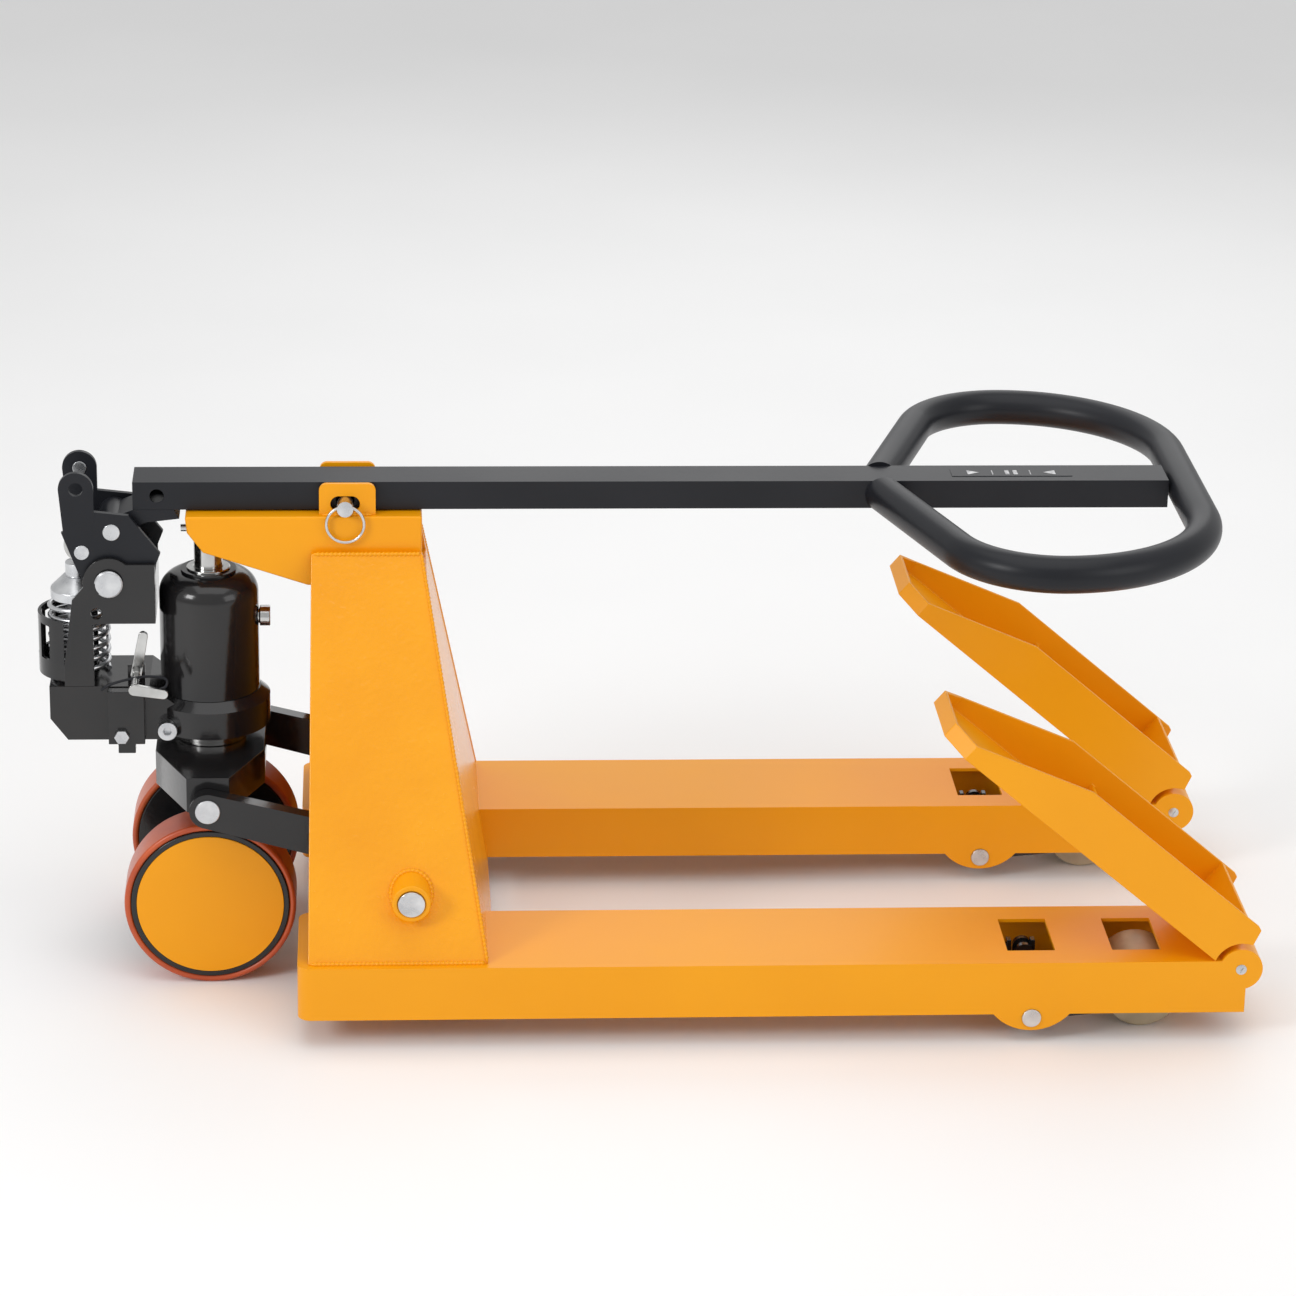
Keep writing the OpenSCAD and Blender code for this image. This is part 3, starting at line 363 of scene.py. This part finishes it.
def loopPath(s):
    # half the loop: a straight from the bar, the knee's arc, a side, the corner's arc and half the end,
    # then the same mirrored across the middle
    low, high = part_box("grip_loop")
    r, kneeX, barHalf = s["radius"] * mm, s["kneeX"] * mm, s["barHalf"] * mm
    kneeRadius, cornerRadius = s["kneeRadius"] * mm, s["cornerRadius"] * mm
    side, reach, z = high.y - r, high.x - r, (low.z + high.z) / 2
    turn = math.atan2(side, kneeX - s["rootX"] * mm)
    run = kneeRadius * math.tan(turn / 2)
    along = np.array([math.cos(turn), math.sin(turn)])
    root = np.array([s["rootX"] * mm, 0.0])
    first = root + along * (barHalf / along[1])
    last = np.array([kneeX, side]) - along * run
    straight = first + (last - first) * np.linspace(0, 1, s["straightSteps"])[:, None]
    a = np.linspace(math.pi / 2 + turn, math.pi / 2, s["kneeSteps"])[1:]
    kneeMiddle = np.array([kneeX + run, side - kneeRadius])
    knee = kneeMiddle + kneeRadius * np.stack([np.cos(a), np.sin(a)], 1)
    c = np.linspace(math.pi / 2, 0, s["cornerSteps"])
    corner = np.array([reach, side]) - cornerRadius * (1 - np.stack([np.cos(c), np.sin(c)], 1))
    endY = np.linspace(side - cornerRadius, 0, s["endSteps"])[1:]
    end = np.stack([np.full(len(endY), reach), endY], 1)
    half = np.vstack([straight, knee, corner, end])
    flat = np.vstack([half, half[-2::-1] * (1, -1)])
    return np.column_stack([flat, np.full(len(flat), z)])


def makeLoop(s):
    # both end rings slide along the tube on to the bar's side faces
    path = loopPath(s)
    points = tubePoints(path, s["radius"] * mm, s["sides"])
    barHalf = s["barHalf"] * mm
    for row, step, plane in ((0, path[1] - path[0], barHalf), (-1, path[-2] - path[-1], -barHalf)):
        points[row] += ((plane - points[row][:, 1]) / step[1])[:, None] * step
    loop = gridMesh("loop_tube", points, False, "satin_black", "drawbar")
    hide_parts("grip_loop")


makeLoop(loopSettings)
print("grip loop made")

# piston spring
springSettings = {"turns": 7, "wire": 2.6, "keep": 0.376, "steps": 24, "sides": 12}


def makeSpring(s):
    # a helix: the angle grows evenly and the height with it, over the CAD spring's own box
    low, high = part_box("piston_spring")
    radius = (high.x - low.x) / 2 - s["wire"] * mm
    t = np.linspace(0, 1, s["turns"] * s["steps"] + 1)
    angle = 2 * np.pi * s["turns"] * t
    middleX, middleY = (low.x + high.x) / 2, (low.y + high.y) / 2
    z = low.z + s["wire"] * mm + t * (high.z - low.z - 2 * s["wire"] * mm)
    path = np.stack([middleX + radius * np.cos(angle), middleY + radius * np.sin(angle), z], 1)
    spring = tube("spring_coil", path, s["wire"] * mm, "zinc_plate", "pump", s["sides"])
    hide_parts("piston_spring")
    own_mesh(spring)


makeSpring(springSettings)
print("spring made")

# weld beads
weldSettings = {"radius": 2.6, "frontRadius": 1.8, "headRadius": 2.2, "lugRadius": 1.9,
                "ripple": 0.22, "pitch": 4.5, "step": 0.9, "sides": 8, "fewest": 8,
                "fadeLength": 3.0, "fadeTo": 0.25, "plateLean": 0.584, "headFront": -232.0, "headHalf": 49.6,
                "footRise": 0.6, "footInset": 2.0, "bossGrow": 0.5, "bossOut": 0.8, "bossSteps": 181,
                "frontInset": 1.0, "headInset": 6.0, "lugInset": 3.0, "lugOut": 0.2, "lugRise": 0.4}


def resample(path, step, fewest):
    # points at even distances along the path, read off its running length
    path = np.asarray(path, float)
    length = np.concatenate([[0], np.cumsum(np.linalg.norm(np.diff(path, axis=0), axis=1))])
    even = np.linspace(0, length[-1], max(fewest, int(length[-1] / step)))
    return np.stack([np.interp(even, length, path[:, k]) for k in range(3)], 1), even


def bead(name, path, radius, s, closed=False):
    # a tube whose radius swells and shrinks once per pitch, as a row of overlapping weld puddles, and
    # fades towards an open end
    points, even = resample(path, s["step"] * mm, s["fewest"])
    if closed:
        points, even = points[:-1], even[:-1]
    size = radius * mm * (1 + s["ripple"] * np.sin(2 * np.pi * even / (s["pitch"] * mm)))
    if not closed:
        size *= np.clip(np.minimum(even, even[-1] - even) / (s["fadeLength"] * mm), s["fadeTo"], 1)
    tube(name, points, size, "yellow_paint", "chassis", s["sides"], closed)


def bossPath(s, sign, footY, footZ):
    # a circle round the rocker's boss: its y steps back with its height, as the leaning plate does
    low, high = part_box("rocker_bosses")
    ring = (high.x - low.x) / 2 + s["bossGrow"] * mm
    t = np.linspace(0, 2 * np.pi, s["bossSteps"])
    x = (low.x + high.x) / 2 + ring * np.cos(t)
    z = (low.z + high.z) / 2 + ring * np.sin(t)
    y = sign * (footY - (z - footZ) * s["plateLean"] + s["bossOut"] * mm)
    return np.stack([x, y, z], 1)


def makeWelds(s):
    # for each side, the plate's foot, its boss, its front edge and its top edge; then the latch lugs
    headY = s["headHalf"] * mm
    for side, sign in (("right", -1), ("left", 1)):
        low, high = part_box(side + "_side_plate")
        footY = max(abs(low.y), abs(high.y))
        footZ = low.z + s["footRise"] * mm
        footEnds = (low.x + s["footInset"] * mm, high.x - s["footInset"] * mm)
        top = (s["headFront"] * mm, sign * headY, high.z)
        bottom = (high.x - s["frontInset"] * mm, sign * footY, low.z + s["frontInset"] * mm)
        headEnd = (low.x + s["headInset"] * mm, sign * headY, high.z)
        bead(side + "_foot_weld", [(x, sign * footY, footZ) for x in footEnds], s["radius"], s)
        bead(side + "_boss_weld", bossPath(s, sign, footY, low.z), s["radius"], s, True)
        bead(side + "_front_weld", [bottom, top], s["frontRadius"], s)
        bead(side + "_head_weld", [headEnd, top], s["headRadius"], s)
    lugLow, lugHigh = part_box("latch_bracket")
    lugY = max(abs(lugLow.y), abs(lugHigh.y)) + s["lugOut"] * mm
    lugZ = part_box("head")[1].z + s["lugRise"] * mm
    lugEnds = (lugLow.x + s["lugInset"] * mm, lugHigh.x - s["lugInset"] * mm)
    for side, sign in (("right", -1), ("left", 1)):
        bead(side + "_lug_weld", [(x, sign * lugY, lugZ) for x in lugEnds], s["lugRadius"], s)


makeWelds(weldSettings)
print("weld beads made")

# pictograms on the drawbar: up, hold and down, with no lettering
signSettings = {"step": 40.0, "height": 13.0, "lift": 0.25, "clear": 0.02, "line": 1.0, "holdPitch": 1.33}


def flatSign(name, outlines, z, s):
    # each outline is a closed loop of points in the plane, raised a little to a thin slab
    mesh = bpy.data.meshes.new(name)
    work = bmesh.new()
    for outline in outlines:
        low = [work.verts.new((x, y, z)) for x, y in outline]
        face = work.faces.new(low)
        raised = bmesh.ops.extrude_face_region(work, geom=[face])["geom"]
        top = [v for v in raised if isinstance(v, bmesh.types.BMVert)]
        bmesh.ops.translate(work, verts=top, vec=(0, 0, s["lift"] * mm))
    bmesh.ops.recalc_face_normals(work, faces=work.faces)
    work.to_mesh(mesh)
    work.free()
    showPiece(name, mesh, "decal_ink", "drawbar")


def bar(x0, x1, half):
    # a rectangle between two x values, as tall on each side of the middle
    return [(x0, -half), (x1, -half), (x1, half), (x0, half)]


def makeSigns(s):
    # an arrow head each way, two hold bars between them and a thin line halfway between neighbours
    plateLow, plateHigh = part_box("position_plate")
    top = plateHigh.z + s["clear"] * mm
    h, step, line = s["height"] / 2 * mm, s["step"] * mm, s["line"] / 2 * mm
    hold = (plateLow.x + plateHigh.x) / 2
    up, down = hold - step, hold + step
    upArrow = [(up - h, -h), (up + h, 0), (up - h, h)]
    downArrow = [(down + h, -h), (down + h, h), (down - h, 0)]
    holds = [bar(hold + shift * h - h, hold + shift * h - h / 3, h) for shift in (0, s["holdPitch"])]
    lines = [bar(x - line, x + line, h) for x in (hold - step / 2, hold + step / 2)]
    flatSign("drawbar_signs", [upArrow] + holds + [downArrow] + lines, top, s)


makeSigns(signSettings)
print("pictograms made")

# circlips on the lever's pivot pin
clipSettings = {"wire": 0.9, "gapDegrees": 50, "inset": 1.6, "sunk": 0.1, "steps": 60, "sides": 10}


def clip(name, node, y, turn, s):
    # an open ring round the pin: the angle runs over all but the gap
    low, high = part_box(node)
    t = np.radians(np.linspace(s["gapDegrees"] / 2 + turn, 360 - s["gapDegrees"] / 2 + turn, s["steps"]))
    radius = (high.x - low.x) / 2 - s["sunk"] * mm
    centreX, centreZ = (low.x + high.x) / 2, (low.z + high.z) / 2
    path = np.stack([centreX + radius * np.cos(t), np.full(len(t), y), centreZ + radius * np.sin(t)], 1)
    tube(name, path, s["wire"] * mm, "zinc_plate", "pump", s["sides"])


pivotLow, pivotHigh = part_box("lever_pivot_pin")
clip("right_pivot_clip", "lever_pivot_pin", pivotLow.y + clipSettings["inset"] * mm, 200, clipSettings)
clip("left_pivot_clip", "lever_pivot_pin", pivotHigh.y - clipSettings["inset"] * mm, 20, clipSettings)
print("clips made")

# slotted screws on the tip hinges
screwSettings = {"radius": 5.6, "dome": 1.3, "fall": 0.6, "slot": 1.3, "slotFloor": 0.25, "slotTurn": 62,
                 "sunk": 0.4, "hub": 0.02, "rings": 10, "sides": 72}


def screwHead(name, centre, sign, s):
    # a dome: height falls with the square of the radius, and drops into the slot where the point
    # lies within half the slot's width of a line through the middle
    share = np.linspace(s["hub"], 1, s["rings"])[:, None]
    r = share * s["radius"] * mm
    t = np.linspace(0, 2 * np.pi, s["sides"], endpoint=False)[None, :]
    x, z = r * np.cos(t), r * np.sin(t)
    turn = math.radians(s["slotTurn"])
    across = np.abs(x * math.sin(turn) - z * math.cos(turn))
    dome = s["dome"] * mm * (1 - s["fall"] * share ** 2)
    rise = np.where(across < s["slot"] / 2 * mm, s["slotFloor"] * mm, dome)
    face = np.stack([centre[0] + x, centre[1] + sign * rise, centre[2] + z], -1)
    back = face[-1:].copy()
    back[..., 1] = centre[1] - sign * s["sunk"] * mm
    points = np.concatenate([face, back])
    gridMesh(name, points, False, "zinc_plate", "chassis")


def makeScrews(s):
    # one on each face of each fork, in line with the hinge pins and facing away from the fork's middle
    low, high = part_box("tip_hinge_pins")
    x, z = (low.x + high.x) / 2, (low.z + high.z) / 2
    for side, sign in (("right", -1), ("left", 1)):
        inner, outer = sorted(abs(corner.y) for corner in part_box(side + "_fork"))
        for place, y, outward in (("inner", inner, -sign), ("outer", outer, sign)):
            screwHead(side + "_" + place + "_hinge_screw", (x, sign * y, z), outward, s)


makeScrews(screwSettings)
print("hinge screws made")

# release wire: its route is listed point by point, in millimetres
wireSettings = {"radius": 1.4, "steps": 10, "sides": 10,
                "points": [(-558, -52, 302), (-540, -56, 306), (-518, -56, 309),
                           (-500, -54, 312), (-499, -50, 320), (-516, -50, 323),
                           (-536, -52, 321), (-556, -52, 315), (-566, -50, 308)]}


def curvePath(points, steps):
    # a Catmull-Rom curve through the points, as one array for each stretch
    p = np.array(points, float) * mm
    p = np.vstack([2 * p[0] - p[1], p, 2 * p[-1] - p[-2]])
    t = np.linspace(0, 1, steps, endpoint=False)[None, :, None]
    a, b, c, d = (p[k:len(p) - 3 + k, None] for k in range(4))
    square = (2 * a - 5 * b + 4 * c - d) * t ** 2
    cube = (3 * b - a - 3 * c + d) * t ** 3
    curve = 0.5 * (2 * b + (c - a) * t + square + cube)
    return np.vstack([curve.reshape(-1, 3), p[-2]])


def makeWire(s):
    # a thin tube along the curve
    path = curvePath(s["points"], s["steps"])
    tube("release_wire", path, s["radius"] * mm, "satin_black", "pump", s["sides"])


makeWire(wireSettings)
print("release wire made")

# floor
floorSettings = {"half": 30.0, "z": -0.0002}


def makeFloor(s):
    # one square round the origin, a hair below the wheels
    half = s["half"]
    mesh = bpy.data.meshes.new("floor")
    corners = [(x * half, y * half, s["z"]) for x, y in ((-1, -1), (1, -1), (1, 1), (-1, 1))]
    mesh.from_pydata(corners, [], [(0, 1, 2, 3)])
    mesh.materials.append(materials["pale_floor"])
    floor = bpy.data.objects.new("floor", mesh)
    bpy.context.scene.collection.objects.link(floor)


makeFloor(floorSettings)
